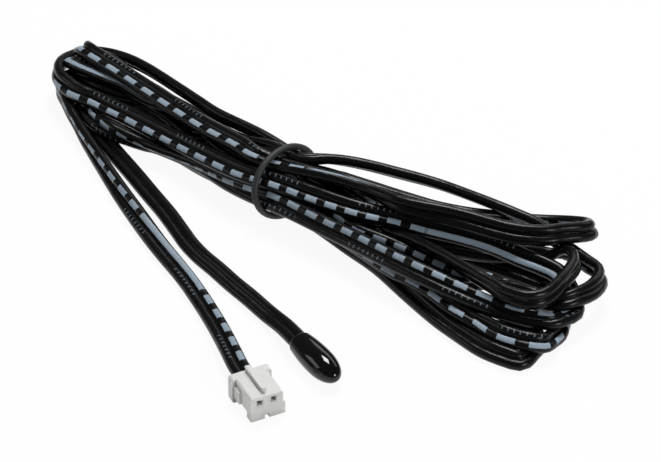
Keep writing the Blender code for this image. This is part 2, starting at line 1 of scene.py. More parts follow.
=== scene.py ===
# %% [markdown]
# ## A bead thermistor on its hanked cord
#
# The part is a temperature sensor: a glossy black bead on a flat two-core cord, folded into a hank
# that one rubber tie holds, with a small nylon connector at the far end. The solids come from the
# CAD model. This lesson gives them their finish and draws the cord as the one long strand it is.

# %% Load the part and note its box
import math

import bmesh
import bpy
import numpy as np
from mathutils import Matrix, Vector


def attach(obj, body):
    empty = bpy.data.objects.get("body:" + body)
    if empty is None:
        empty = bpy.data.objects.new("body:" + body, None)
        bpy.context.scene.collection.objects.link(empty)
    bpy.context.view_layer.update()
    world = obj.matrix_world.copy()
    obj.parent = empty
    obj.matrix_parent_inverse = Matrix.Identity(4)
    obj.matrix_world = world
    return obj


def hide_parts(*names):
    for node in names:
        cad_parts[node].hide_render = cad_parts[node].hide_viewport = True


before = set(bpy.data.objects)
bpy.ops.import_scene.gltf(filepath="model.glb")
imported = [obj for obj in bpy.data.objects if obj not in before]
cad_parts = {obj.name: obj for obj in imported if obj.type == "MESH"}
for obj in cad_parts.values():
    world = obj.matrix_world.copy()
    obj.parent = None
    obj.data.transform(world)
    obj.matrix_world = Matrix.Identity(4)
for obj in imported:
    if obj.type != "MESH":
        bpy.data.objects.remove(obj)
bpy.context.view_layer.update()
MM = 0.001

# %% [markdown]
# ### The eye of the photograph
#
# The cord lies in plain sight, so the surest way to place a strand is to say where the photograph
# shows it and how high it lies. For that the script needs the eye first. All lengths of the route
# are in millimetres, in the frame of the part.

# %% The eye and its three directions
IMAGE_MIDDLE = (330.5, 231.0)
IMAGE_WIDTH = 661
FOCAL_PIXELS = 3000.0
EYE_DISTANCE = 540.0
EYE_ELEVATION = math.radians(36.5)
EYE_TURN = math.radians(58.0)
AIM = np.array([-32.87, 22.99, 0.0])
RIGHT = np.array([math.cos(EYE_TURN), math.sin(EYE_TURN), 0.0])
TOWARD = np.array(
    [
        math.sin(EYE_TURN) * math.cos(EYE_ELEVATION),
        -math.cos(EYE_TURN) * math.cos(EYE_ELEVATION),
        math.sin(EYE_ELEVATION),
    ]
)
UP = np.cross(TOWARD, RIGHT)
EYE = AIM + EYE_DISTANCE * TOWARD
print("eye in mm:", EYE.round(1))

# %% [markdown]
# ### The camera
#
# A long lens from half a metre off makes the far end of the hank look nearly as large as the near
# end, as in the photograph. A camera looks along its own -Z, so its matrix is the three directions
# and the eye side by side, which is plainer here than angles or a constraint that tracks a target.

# %% The camera
SENSOR_WIDTH = 36.0


def placed(name, data):
    """A new object in the scene."""
    obj = bpy.data.objects.new(name, data)
    bpy.context.scene.collection.objects.link(obj)
    return obj


lens_data = bpy.data.cameras.new("eye")
lens_data.sensor_width = SENSOR_WIDTH
lens_data.lens = SENSOR_WIDTH * FOCAL_PIXELS / IMAGE_WIDTH
lens_data.clip_start, lens_data.clip_end = 0.01, 20.0
camera = placed("eye", lens_data)
eye_rows = [[RIGHT[k], UP[k], TOWARD[k], EYE[k] * MM] for k in range(3)]
camera.matrix_world = Matrix(eye_rows + [[0, 0, 0, 1]])
bpy.context.scene.camera = camera
print("lens %.1f mm, one pixel on the ground spans %.2f mm" % (lens_data.lens, EYE_DISTANCE / FOCAL_PIXELS))

# %% [markdown]
# ### How the cord's route is written
#
# A waypoint has a place, a roll, the core it stands for and a hold. Roll turns the flat cord about
# its own line: 0 has the print on top, 90 stands it on edge with the striped core above, 180 has
# the print underneath. `seen` takes a pixel and a height, and `dashed` and `bare` do so for the
# striped and the plain core. `beside` takes a distance along the hank and one across it, and `at`
# plain coordinates. The hold keeps what the photograph shows in its place when the strands later
# push each other apart.

# %% Ways to write a waypoint
TIE_PLACE = np.array([-42.6, 19.5, 0.0])
HANK_YAW = math.radians(21.5)
ALONG = np.array([math.cos(HANK_YAW), math.sin(HANK_YAW), 0.0])
ACROSS = np.array([-math.sin(HANK_YAW), math.cos(HANK_YAW), 0.0])
STRIPED, PLAIN, MIDDLE = 1, -1, 0


def seen(x, y, z, roll, core=MIDDLE):
    """The waypoint that the photograph shows at a pixel, at height z; core says which core it is."""
    ray = -TOWARD * FOCAL_PIXELS + RIGHT * (x - IMAGE_MIDDLE[0]) - UP * (y - IMAGE_MIDDLE[1])
    return EYE + ray * (z - EYE[2]) / ray[2], roll, core, 1.0


def dashed(x, y, z, roll):
    """A waypoint of the striped core, at a pixel."""
    return seen(x, y, z, roll, STRIPED)


def bare(x, y, z, roll):
    """A waypoint of the plain core, at a pixel."""
    return seen(x, y, z, roll, PLAIN)


def beside(s, w, z, roll):
    """A waypoint hidden in the hank: s along it and w across it from the tie."""
    return TIE_PLACE + s * ALONG + w * ACROSS + np.array([0, 0, z]), roll, MIDDLE, 0.0


def at(x, y, z, roll):
    """A waypoint of a free lead, as in the part's own source."""
    return np.array([x, y, z], float), roll, MIDDLE, 1.0


ROUTE = {}


def add_stretch(name, *waypoints):
    """Adds a named stretch of waypoints to the end of the route."""
    ROUTE[name] = list(waypoints)
    print("%s: %d waypoints" % (name, len(waypoints)))


print("the hank lies %.1f degrees off the bead's own line" % math.degrees(HANK_YAW))

# %% [markdown]
# ### The lead from the bead and the first folds
#
# The free lead starts in the bead, runs over the ground to the far left and goes under the hank.
# The first folds lie flat on the ground, printed side down, so they show as plain black strands.

# %% The lead from the bead and the first folds
add_stretch(
    "bead lead",
    at(-3.4, 0, 2.45, 180), at(-6.4, 0, 2.45, 180), at(-9.3, 0.3, 2, 180), at(-12.4, 0.5, 1.55, 180),
    at(-17, 0.3, 1.1, 180), at(-22.7, 0, 0.98, 180), at(-27.7, -0.5, 0.98, 180),
    at(-32.8, -0.8, 0.98, 180), at(-37.1, -1.2, 0.98, 180), at(-41.5, -1.2, 0.98, 180),
    at(-45.8, -0.7, 0.98, 180), at(-51.9, 0, 0.98, 180), at(-58.6, 0.4, 0.98, 180),
    at(-66.2, 0.9, 0.98, 180), at(-73, 1.2, 0.98, 180), at(-78.3, 1.5, 0.98, 180),
    beside(-45, -1.1, 0.98, 180),
)
add_stretch(
    "turn 1",
    beside(-49, 0.8, 0.98, 172), beside(-51.8, 3.2, 1.1, 160), beside(-53.2, 6.8, 1.15, 155),
    beside(-52.4, 10.2, 1.15, 155), beside(-49.4, 12.4, 1.1, 165),
)
add_stretch(
    "run 1",
    beside(-45, 12.6, 0.98, 170), beside(-32, 10.4, 1, 180), beside(-18, 5.6, 1.5, 180),
    beside(-8, 1.6, 2.3, 180), beside(0, 0.2, 2.5, 180), beside(8, 0, 2.3, 180),
    beside(20, -1.4, 1.1, 180), beside(34, -5.6, 1, 180), beside(45, -8.4, 1, 180),
    beside(51.5, -7.2, 1, 180), beside(56.2, -4.8, 1, 176),
)
add_stretch(
    "turn 2",
    beside(58.9, -6, 1.1, 166), seen(532.5, 351, 1.3, 150), seen(522, 360.5, 1.6, 140),
)
add_stretch(
    "run 2",
    seen(508, 357.5, 1.6, 140), seen(485, 348.5, 1.6, 140), seen(465, 336.5, 1.6, 140),
    seen(440, 319, 1.6, 140), seen(410, 293, 1.8, 140), seen(380, 266, 2.1, 145),
    seen(352, 247, 2, 165), beside(8, -3.3, 3.6, 175), beside(0, -3.6, 4.1, 180),
    beside(-9, -1.8, 3, 180), beside(-20, 0.6, 1.3, 180), beside(-33, 3, 1, 180),
    beside(-42, 4, 1, 180),
)
add_stretch(
    "turn 3",
    beside(-46.6, 4.3, 1.15, 155), beside(-50.4, 6.2, 1.35, 140), beside(-50.8, 9.6, 1.7, 115),
    beside(-47, 10.6, 2.4, 40),
)
add_stretch(
    "run 3",
    beside(-40, 8.2, 2.95, 0), beside(-30, 6.4, 2.95, 0), beside(-15, 3.4, 3.6, 0),
    beside(0, 0.6, 4.3, 0), beside(12, 1.4, 3.2, -60), beside(24, 3.6, 1.8, -130),
    beside(33, 6.3, 1.2, -168), beside(41, 7.3, 1.1, -172), beside(47.5, 7.8, 1.1, -172),
    beside(52.5, 7.6, 1.1, -170), beside(56.4, 5.6, 1.2, -160),
)

# %% [markdown]
# ### The low folds on the near side
#
# These two folds make the near edge of the hank. Both show their dashes: the lower one leans out
# under the upper one and is half hidden by it.

# %% The low folds on the near side
add_stretch(
    "turn 4",
    seen(558, 309, 1.7, -135), seen(565, 318, 1.9, -95), seen(563, 329, 1.95, -62),
    seen(553, 338, 2, -48),
)
add_stretch(
    "run 4",
    dashed(540, 348.5, 2.6, -45), dashed(504, 340.5, 2.7, -47), dashed(474.7, 325.5, 2.6, -47),
    dashed(450.7, 311, 2.7, -47), dashed(430, 295, 2.7, -45), dashed(410, 282, 2.8, -45),
    dashed(390, 272, 2.8, -42), beside(17, -4.2, 3.9, -35), beside(8, -3.6, 4.6, -20),
    beside(0, -3.2, 5.2, -10), beside(-12, -0.4, 4.2, 0), beside(-24, 3.6, 2.4, 0),
    beside(-35, 6.8, 1.1, 0), beside(-43, 7, 2, 10),
)
add_stretch(
    "turn 5",
    beside(-47.8, 6, 2.9, 28), beside(-50.3, 3.5, 3.4, 48), beside(-49.2, 0.8, 3.5, 56),
)
add_stretch(
    "run 5",
    beside(-46.6, -1.2, 3.6, 60), dashed(94.5, 116, 4.1, 76), dashed(111, 127, 4, 92),
    dashed(127, 135, 3.6, 106), dashed(141.5, 141.5, 3.3, 118), dashed(156, 147.5, 3.4, 132),
    dashed(193, 162, 4, 122), dashed(231, 180, 5.3, 90), dashed(277, 198, 6, 42),
    dashed(293.8, 205, 6, 42), dashed(326, 221, 5.9, 42), dashed(358.8, 237, 6.2, 44),
    dashed(396, 256, 6.7, 45), dashed(435, 274.6, 6.6, 46), dashed(482, 296.5, 5, 44),
    dashed(515.5, 309, 4.2, 38), dashed(547.5, 317, 3.7, 10),
)

# %% [markdown]
# ### The top fold with the long pale line
#
# Round the right end the dashes give way to one long pale line, and the fold goes on over the top
# to the widest loop on the left, where it stands on edge.

# %% The top fold with the long pale line
add_stretch(
    "turn 6",
    beside(59.6, -0.8, 3.5, -2), beside(60.2, 2.2, 3.2, -20), beside(57.9, 5.4, 3.6, -25),
)
add_stretch(
    "run 6",
    dashed(556, 279, 4.7, -25), dashed(540, 270, 5.1, -30), dashed(520, 262, 5.5, -35),
    dashed(490, 249, 6.2, -40), dashed(460, 240, 6.6, -42), dashed(430, 233, 6.9, -43),
    dashed(394, 224, 7.2, -43), dashed(350, 213, 7.4, -43), dashed(311, 200, 7.5, -43),
    dashed(275, 187, 7.4, -43), dashed(239, 176, 6.9, -43), dashed(202, 159, 6, -43),
    dashed(165, 140, 5.2, -43), dashed(128, 121, 4.8, -43), dashed(92.4, 104, 5, -47),
    dashed(74.9, 96.5, 5.2, -54),
)
add_stretch(
    "turn 7",
    bare(66.5, 79.5, 7, -65), bare(60.5, 73.5, 7, -72), bare(58.4, 67.5, 6.9, -76),
    bare(60.4, 62, 6.6, -76), bare(65, 58, 6, -75), bare(72, 55, 5.2, -72),
)
add_stretch(
    "run 7",
    seen(85, 53.4, 3.9, -66), seen(100, 53.5, 4.2, -60), seen(115, 56, 4.9, -58),
    seen(130, 60.6, 5.6, -57), seen(145, 67.6, 6.3, -57), seen(160, 76.5, 6.9, -57),
    seen(180, 89.5, 7.5, -57), seen(200, 102.6, 7.9, -57), seen(220, 115.5, 8.1, -57),
    beside(-11, 7, 8, -55), beside(0, 5, 7.4, -50), beside(8, 4.8, 6.2, -40), beside(16, 3.6, 5.4, -42),
    beside(23, 1, 5.3, -45), bare(437, 251.5, 7.4, -50), bare(464, 266.5, 7.9, -68),
    bare(491, 281.5, 7.9, -78), bare(506, 290, 7.9, -86), bare(530, 296, 8, -92),
    bare(550, 289.5, 8, -95),
)

# %% [markdown]
# ### The folds through the middle
#
# From here the cord dives into the hank and comes out again. Each fold rests on the ones before,
# so the heights rise as the hank was wound.

# %% The folds through the middle
add_stretch(
    "turn 8",
    bare(566, 272.5, 7.8, -98), bare(573.5, 260.5, 7.4, -105), bare(571, 252, 6.8, -110),
    bare(561, 250.5, 6, -125),
)
add_stretch(
    "run 8",
    seen(549, 254.5, 5, -165), seen(530, 254, 4.1, -205), seen(512, 254, 3.7, -215),
    seen(490, 253, 3.6, -212), seen(463, 249, 3.6, -205), beside(27, 3, 3.6, -210),
    beside(14, 5.2, 4.4, -210), beside(0, 4.6, 5.8, -165), beside(-12, 5, 5.8, -95),
    beside(-24, 5.2, 5.8, -35), beside(-33, 5.6, 6, -5), dashed(127, 88.3, 7, 0),
    dashed(112.7, 82.4, 7, 0), dashed(96, 75.8, 7, 0), dashed(79.3, 69, 7, 0), dashed(69, 63.6, 7, -10),
)
add_stretch(
    "turn 9",
    beside(-56.6, 7.2, 6.5, -25), beside(-56.4, 9.2, 5.2, -45), beside(-53.8, 10.2, 3.9, -40),
)
add_stretch(
    "run 9",
    beside(-49, 10.9, 3, 30), beside(-40, 11.6, 3, 110), beside(-28, 9, 3.8, 160),
    beside(-14, 5.6, 5, 165), beside(0, 3.4, 7.8, 155), beside(8, 4.6, 8.2, 148),
    seen(343, 177.5, 8.4, 146), seen(372, 186.5, 8, 146), seen(400, 195.5, 7.8, 146),
    seen(440, 207, 7.6, 140), seen(470, 214, 7.5, 126), seen(497, 218, 6.5, 114),
    seen(520, 221.5, 5.8, 106), seen(545, 223.5, 5.6, 98), seen(570, 224.5, 6.2, 98),
)

# %% [markdown]
# ### The folds on top
#
# The last folds lie on top of the tie's opening, and one of them crosses the upper side of the left
# half with a clear row of dashes.

# %% The folds on top
add_stretch(
    "turn 10",
    seen(586, 226, 7, 103), seen(591.5, 229, 7.9, 112), seen(586, 231.5, 8.7, 120),
)
add_stretch(
    "run 10",
    seen(562, 233.5, 9.3, 125), seen(545, 235.5, 9.6, 126), seen(509, 232, 9.9, 125),
    seen(456, 217.5, 9.9, 118), seen(404.6, 206, 9.9, 92), dashed(370, 190, 10.2, 55),
    dashed(340, 180, 10.3, 32), dashed(305, 172, 10.4, 22), beside(-1, -0.2, 9.9, 5),
    dashed(251, 157, 10.2, -8), dashed(235.6, 147, 9.9, -12), dashed(198, 127, 9.1, -12),
    dashed(162.6, 104, 8.2, -12), dashed(129, 82, 8.1, -12), dashed(95, 60.3, 8.6, -14),
)
add_stretch(
    "turn 11",
    dashed(86, 54.6, 8.6, -14), dashed(80.5, 51.2, 8.2, -24), beside(-56.4, 10.2, 6.7, -45),
    beside(-56, 11.9, 5.4, -60), beside(-53.6, 12.5, 4.8, -90),
)
add_stretch(
    "run 11",
    beside(-50, 11.8, 4.7, -130), beside(-45, 9.9, 4.8, -160), beside(-39, 8.5, 4.9, 180),
    beside(-30, 6, 5, 150), beside(-20, 1.4, 7, 120), beside(-10, -0.2, 7, 80), beside(0, -0.2, 6, 60),
    beside(9, -2.2, 5.8, 50), dashed(355, 227, 5.9, 82), dashed(378, 236.5, 5.5, 72),
    dashed(400, 245.5, 5, 60), dashed(440, 265, 4.6, 46), dashed(462, 275.5, 4.3, 40),
    seen(490, 281.5, 3.9, 0), seen(515, 289.5, 3.8, -70), seen(540, 300, 4.3, -118),
)

# %% [markdown]
# ### The last fold and the lead to the connector
#
# The last fold bows out at the far side, passes the tie, hides in the hank and comes down round the
# left end. From there the lead runs over the ground and rises into the housing.

# %% The last fold and the lead to the connector
add_stretch(
    "turn 12",
    seen(559, 302, 5.4, -122), seen(577, 297, 5.7, -124), seen(592, 290, 5.5, -122),
    seen(600.5, 280.5, 5.2, -114), seen(598.5, 271.5, 5.1, -100), seen(587.5, 264, 5.1, -92),
)
add_stretch(
    "run 12",
    seen(568, 250, 5.6, -96), seen(540, 227, 7.5, -112), seen(520, 216, 8, -128),
    seen(500, 207, 8.3, -136), seen(480, 199, 8.5, -138), seen(440, 184.5, 8.7, -138),
    seen(400, 173.5, 9.2, -135), seen(360, 163.5, 9.6, -137), seen(330, 159, 9.8, -145),
    beside(1.4, 3.8, 9.9, -165), beside(-6, 3.2, 9.2, 175), beside(-16, 2.8, 7.4, 150),
    beside(-26, 3.2, 5, 120), dashed(139, 101, 4.4, 100), dashed(122.8, 96, 4.6, 95),
    dashed(96, 86.2, 4.8, 90), dashed(79.3, 79.4, 4.3, 88),
)
add_stretch(
    "last turn",
    seen(70, 77.5, 2.9, 88), seen(62.5, 82, 2.5, 88), seen(60.8, 90.5, 2.5, 92),
    seen(65.2, 100, 2.7, 96),
)
add_stretch(
    "connector lead",
    at(-87.4, -0.6, 2.8, 98), at(-84.3, -1, 2.4, 97), at(-80.5, -1.7, 2.1, 92),
    at(-75.9, -2.4, 1.95, 84), at(-69.6, -3.3, 1.85, 73), at(-62.4, -4.3, 1.75, 58),
    at(-54.9, -5.1, 1.5, 40), at(-44.6, -6, 1.1, 12), at(-34.2, -6.6, 0.98, 0), at(-28, -7.3, 0.98, 0),
    at(-22.4, -8.2, 1.1, 0), at(-16.8, -9.4, 1.55, 0), at(-10.6, -11, 2.2, 0), at(-5.6, -12.3, 2.6, 0),
    at(-2, -12.72, 2.75, 0),
)

# %% [markdown]
# ### From waypoints to one even curve
#
# A cord bends without corners. The waypoints are joined by a Catmull-Rom curve, which goes through
# every one of them, while a Bezier curve would round off the places that the photograph gives. Each
# even step carries the direction from the plain core to the striped one, because a flat cord has a
# side as well as a heading.

# %% The sides
CORE_RADIUS = 0.96
CORE_OFFSET = 0.90
STEEP = 0.45
TINY = 1e-9


def unit(vectors):
    """The vectors at a length of one."""
    return vectors / np.linalg.norm(vectors, axis=1)[:, None]


def side_vectors(places, rolls):
    """The direction from the plain core to the striped one at each point, from its roll."""
    heading = np.gradient(places, axis=0)
    flat = heading * [1, 1, 0]
    flat_length = np.linalg.norm(flat, axis=1)
    left = np.cross([0, 0, 1.0], flat / np.maximum(flat_length, TINY)[:, None])
    angle = np.radians(rolls)[:, None]
    side = np.cos(angle) * left + np.sin(angle) * np.array([0, 0, 1.0])
    steep = flat_length < STEEP * np.linalg.norm(heading, axis=1)
    for i in np.nonzero(steep)[0]:
        side[i] = side[i - 1] + side[i + 1]
    return unit(side)


print("the flat cord is %.2f mm wide" % (2 * (CORE_OFFSET + CORE_RADIUS)))

# %% The curve
STEP = 1.25
FINE_STEPS = 24
CORE_ROUNDS = 3


def through(rows):
    """A Catmull-Rom curve through rows of numbers in even steps, and how far along it each row is."""
    ends = np.vstack([rows[:1], rows, rows[-1:]])
    t = np.linspace(0, 1, FINE_STEPS, endpoint=False)[:, None]
    parts = []
    for a, b, c, d in zip(ends[:-3], ends[1:-2], ends[2:-1], ends[3:]):
        bow = (c - a) * t + (2 * a - 5 * b + 4 * c - d) * t**2 + (3 * b - a - 3 * c + d) * t**3
        parts.append(b + 0.5 * bow)
    fine = np.vstack(parts + [rows[-1:]])
    run = np.concatenate([[0], np.cumsum(np.linalg.norm(np.diff(fine[:, :3], axis=0), axis=1))])
    even = np.linspace(0, run[-1], round(run[-1] / STEP) + 1)
    return np.column_stack([np.interp(even, run, column) for column in fine.T]), run[::FINE_STEPS], even


def lay_out(route):
    """Both cores' lines, each step's hold, and how far along the cord waypoints and steps are."""
    rows = [row for stretch in route.values() for row in stretch]
    given = np.array([row[0] for row in rows])
    rolls, cores, holds = (np.array([row[k] for row in rows], float) for k in (1, 2, 3))
    places = given.copy()
    for _ in range(CORE_ROUNDS):
        side = side_vectors(places, rolls)
        places = given - cores[:, None] * CORE_OFFSET * side
    curve, marks, even = through(np.column_stack([places, side, holds]))
    middle, side, hold = curve[:, :3], curve[:, 3:6], np.clip(curve[:, 6], 0, 1)
    heading = unit(np.gradient(middle, axis=0))
    side = unit(side - (side * heading).sum(1)[:, None] * heading)
    return middle + CORE_OFFSET * side, middle - CORE_OFFSET * side, hold, marks, even


striped, plain, hold, marks, even = lay_out(ROUTE)
print("%d waypoints make %d steps, %.0f mm of cord" % (len(marks), len(even), even[-1]))

# %% [markdown]
# ### The room inside the tie
#
# The tie is a leaning oval ring that squeezes the hank. A collision solver could find how the cord
# sits in it, but the oval itself is enough: a core that is level with the ring and outside its
# opening is drawn halfway back in at each round.

# %% The room inside the tie
TIE_YAW = math.radians(14.0)
TIE_LEAN = math.radians(-15.8)
TIE_HALF_WIDTH = 7.65
TIE_HALF_HEIGHT = 6.05
TIE_SECTION = 1.24
TIE_LEVEL = 2.2
TIE_REACH = 2.2
TIE_PULL = 0.5
TIE_ROOM = TIE_SECTION / 2 + CORE_RADIUS + 0.05
TIE_CENTRE = TIE_PLACE + [0, 0, TIE_HALF_HEIGHT * math.cos(TIE_LEAN) + TIE_SECTION / 2]
TIE_ACROSS = np.array([-math.sin(TIE_YAW), math.cos(TIE_YAW), 0])
TIE_FACE = np.array(
    [math.cos(TIE_YAW) * math.cos(TIE_LEAN), math.sin(TIE_YAW) * math.cos(TIE_LEAN), -math.sin(TIE_LEAN)]
)
TIE_RISE = np.cross(TIE_FACE, TIE_ACROSS)


def inside_tie(points):
    """Draws cores that are level with the tie back inside its loop."""
    offset = points - TIE_CENTRE
    x, y, depth = offset @ TIE_ACROSS, offset @ TIE_RISE, offset @ TIE_FACE
    reach = np.hypot(x / (TIE_HALF_WIDTH - TIE_ROOM), y / (TIE_HALF_HEIGHT - TIE_ROOM))
    out = (np.abs(depth) < TIE_LEVEL) & (reach > 1) & (reach < TIE_REACH)
    pull = np.where(out, TIE_PULL / np.maximum(reach, TINY) - TIE_PULL, 0)[:, None]
    return points + pull * (x[:, None] * TIE_ACROSS + y[:, None] * TIE_RISE)


print("cores keep %.2f mm off the middle of the tie's cord" % TIE_ROOM)

# %% [markdown]
# ### Finding the strands that touch
#
# Strands as written run through each other here and there, which a real cord can't do. First,
# the pairs of core points that might touch are listed, block by block to spare the memory.

# %% Finding the strands that touch
CLEAR = 1.92
NEAR = 3.2
OWN_STRETCH = 5.0
BLOCK = 512


def near_pairs(points):
    """Pairs of core points that might touch, leaving out those next to each other on the cord."""
    order = np.arange(len(points)) % (len(points) // 2)
    one, two = [], []
    for a in range(0, len(points), BLOCK):
        gap = ((points[a : a + BLOCK, None, :] - points[None, :, :]) ** 2).sum(-1)
        i, j = np.nonzero(gap < NEAR**2)
        apart = np.abs(order[i + a] - order[j]) * STEP > OWN_STRETCH
        one.append(i[apart] + a)
        two.append(j[apart])
    return np.concatenate(one), np.concatenate(two)


found, _ = near_pairs(np.vstack([striped, plain]))
print("%d pairs of points lie within %.1f mm" % (len(found), NEAR))

# %% [markdown]
# ### Pushing the cores apart
#
# Pairs that lie closer than two cores may are pushed apart, square to the strands, and the web draws
# the two cores back to their width. A rod simulation would do it too, but it would let the strands
# slide away from where the photograph shows them.

# %% Pushing the cores apart
FACING = 0.75
EAGER = 1.5


def shoves(now, one, two):
    """How far each core point is pushed by the ones that it touches, and the gaps of the touches."""
    n = len(now) // 2
    line = unit(np.vstack([np.gradient(now[:n], axis=0), np.gradient(now[n:], axis=0)]))
    offset = now[one] - now[two]
    lengthwise = (offset * line[two]).sum(1)
    apart = offset - lengthwise[:, None] * line[two]
    gap = np.linalg.norm(apart, axis=1) + TINY
    touch = (np.abs(lengthwise) < FACING * STEP) & (gap < CLEAR)
    shove = (0.5 * (CLEAR - gap) / gap)[touch][:, None] * apart[touch]
    push = np.zeros_like(now)
    count = np.zeros(2 * n)
    for which, way in ((one, 1), (two, -1)):
        np.add.at(push, which[touch], way * shove)
        np.add.at(count, which[touch], 1)
    return EAGER * push / np.maximum(count, 1)[:, None], gap[touch]


def kept_wide(now):
    """Both cores drawn back to the width of the web between them."""
    n = len(now) // 2
    web = now[:n] - now[n:]
    fix = (0.5 - CORE_OFFSET / np.linalg.norm(web, axis=1)[:, None]) * web
    return np.vstack([now[:n] - fix, now[n:] + fix])


print("two cores keep %.2f mm between their middles" % CLEAR)

# %% [markdown]
# ### Letting the strands make room
#
# Many small rounds let the whole hank settle. The shifts are eased along the cord so that no kink
# is made, nothing goes below the ground or out of the tie, and what the photograph shows slides
# almost only along the line of sight: FIRM is the share of any other shift that is refused. KEEP
# lets old shifts fade, so a strand comes back when the one that pushed it has gone.

# %% Letting the strands make room
ROUNDS = 300
LOOK_AGAIN = 10
FIRM = 0.85
EASINGS = 2
KEEP = 0.997
LOWEST = CORE_RADIUS + 0.02
DEEP = 0.3


def eased(values):
    """Values averaged with their neighbours along the cord."""
    for _ in range(EASINGS):
        inner = 0.25 * values[:-2] + 0.5 * values[1:-1] + 0.25 * values[2:]
        values = np.vstack([values[:1], inner, values[-1:]])
    return values


def settle(striped, plain, hold):
    """Both cores' lines after the strands have made room for each other."""
    n = len(striped)
    start = np.vstack([striped, plain])
    now = start.copy()
    firmness = FIRM * np.concatenate([hold, hold])[:, None]
    sight = unit(start - EYE)
    for turn in range(ROUNDS):
        if turn % LOOK_AGAIN == 0:
            one, two = near_pairs(now)
        push, gaps = shoves(now, one, two)
        shift = kept_wide(now + push) - start
        deep = (shift * sight).sum(1)[:, None] * sight
        shift = deep + (shift - deep) * (1 - firmness)
        now = start + KEEP * np.vstack([eased(shift[:n]), eased(shift[n:])])
        now[:, 2] = np.maximum(now[:, 2], LOWEST)
        now = inside_tie(now)
    print("%d touches, %d deeper than %.1f mm" % (len(gaps), (gaps < CLEAR - DEEP).sum(), DEEP))
    return now[:n], now[n:]


striped, plain = settle(striped, plain, hold)
middle = (striped + plain) / 2
side = unit(striped - plain)

# %% [markdown]
# ### The print along the cord
#
# One core is printed with pale dashes about 4.6 mm apart, now and then with one long line. The
# dashes are counted between waypoints where the photograph shows them, and the count is carried
# through the hidden stretches in whole dashes, so the rhythm never breaks. A plain repeating
# texture would drift away from the photograph after a few turns.

# %% The print as counted
BEAT_LENGTH = 4.6
COUNTED = [
    ("run 4", 0, "run 4", 6, 6),
    ("run 5", 1, "run 5", 7, 9),
    ("run 5", 8, "run 5", 14, 11),
    ("run 5", 15, "run 5", 16, 1),
    ("run 6", 6, "run 6", 9, 6),
    ("run 6", 10, "run 6", 15, 9),
    ("run 10", 9, "run 10", 14, 9),
    ("run 11", 8.26, "run 11", 11.86, 5),
    ("connector lead", 1.13, "connector lead", 5.95, 6),
    ("connector lead", 9.5, "connector lead", 12.65, 4),
]
LINES = [
    ("run 6", 0, "run 6", 5.0),
    ("run 8", 9, "turn 9", 1),
    ("turn 10", 0, "run 10", 6.75),
    ("connector lead", 6.42, "connector lead", 8.69),
]
lengths = [len(rows) for rows in ROUTE.values()]
ROW_MARKS = dict(zip(ROUTE, np.split(marks, np.cumsum(lengths)[:-1])))


def place_on(stretch, row):
    """How far along the cord a stretch's waypoint is, with a fraction for a place between two."""
    return float(np.interp(row, np.arange(len(ROW_MARKS[stretch])), ROW_MARKS[stretch]))


print("%d counted stretches and %d long lines" % (len(COUNTED), len(LINES)))

# %% Dashes and long lines
beat_at, beat = [0.0], [0.0]
for first, row, last, last_row, dashes in COUNTED:
    a, b = place_on(first, row), place_on(last, last_row)
    beat.append(beat[-1] + max(1, round((a - beat_at[-1]) / BEAT_LENGTH)))
    beat.append(beat[-1] + dashes)
    beat_at += [a, b]
beat.append(beat[-1] + (even[-1] - beat_at[-1]) / BEAT_LENGTH)
beat_at.append(float(even[-1]))
beats = np.interp(even, beat_at, beat)
line = np.zeros(len(even))
for first, row, last, last_row in LINES:
    a, b = place_on(first, row), place_on(last, last_row)
    line = np.maximum(line, np.clip(1 + np.minimum(even - a, b - even) / STEP, 0, 1))
print("%.0f dashes on %.0f mm" % (beats[-1], even[-1]))

# %% [markdown]
# ### A few helpers for materials
#
# Colours are picked as they look on a screen, in sRGB hex, while Blender's shaders count light, so
# one function turns the first into the second. The others add nodes with their settings and links,
# so that what repeats is written once.

# %% Colour and node helpers
def shade(code):
    """A linear colour from an sRGB hex code."""
    parts = [int(code[i : i + 2], 16) / 255 for i in (1, 3, 5)]
    return tuple(c / 12.92 if c <= 0.04045 else ((c + 0.055) / 1.055) ** 2.4 for c in parts) + (1.0,)


def give(tree, socket, value):
    """Links a socket to another node's socket, or sets it to a plain value."""
    if isinstance(value, bpy.types.NodeSocket):
        tree.links.new(value, socket)
    else:
        socket.default_value = value


def node(tree, kind, settings=(), **inputs):
    """Adds a node with its settings and inputs, named or numbered as in0, in1."""
    made = tree.nodes.new(kind)
    for name, value in dict(settings).items():
        setattr(made, name, value)
    for name, value in inputs.items():
        number = name[2:] if name.startswith("in") and name[2:].isdigit() else None
        give(tree, made.inputs[int(number)] if number else made.inputs[name.replace("_", " ")], value)
    return made


print("orange in light:", [round(v, 3) for v in shade("#FF8000")])


# %% [markdown]
# ### What most finishes share
#
# Nearly every finish here has a colour between two, a roughness between two and a fine relief, each
# led by a noise on the object's own coordinates. Images could do it too, but they need unwrapping,
# and noise stays sharp however near the camera comes.

# %% Noise, mixes and relief
def own_place(tree):
    """The object's own coordinates."""
    return node(tree, "ShaderNodeTexCoord").outputs["Object"]


def noise(tree, place, scale, detail):
    """A noise over a place, about 0 to 1."""
    return node(tree, "ShaderNodeTexNoise", Vector=place, Scale=scale, Detail=detail).outputs["Fac"]


def mixed(tree, factor, low, high):
    """A colour between two, each a hex code or a socket."""
    low, high = (shade(c) if isinstance(c, str) else c for c in (low, high))
    return node(tree, "ShaderNodeMix", {"data_type": "RGBA"}, Factor=factor, in6=low, in7=high).outputs[2]


def spread(tree, value, low, high):
    """A number between two, led by a value from 0 to 1."""
    return node(tree, "ShaderNodeMapRange", Value=value, To_Min=low, To_Max=high).outputs[0]


def relief(tree, height, strength, distance):
    """The normal of a bump."""
    return node(tree, "ShaderNodeBump", Strength=strength, Distance=distance, Height=height).outputs[0]


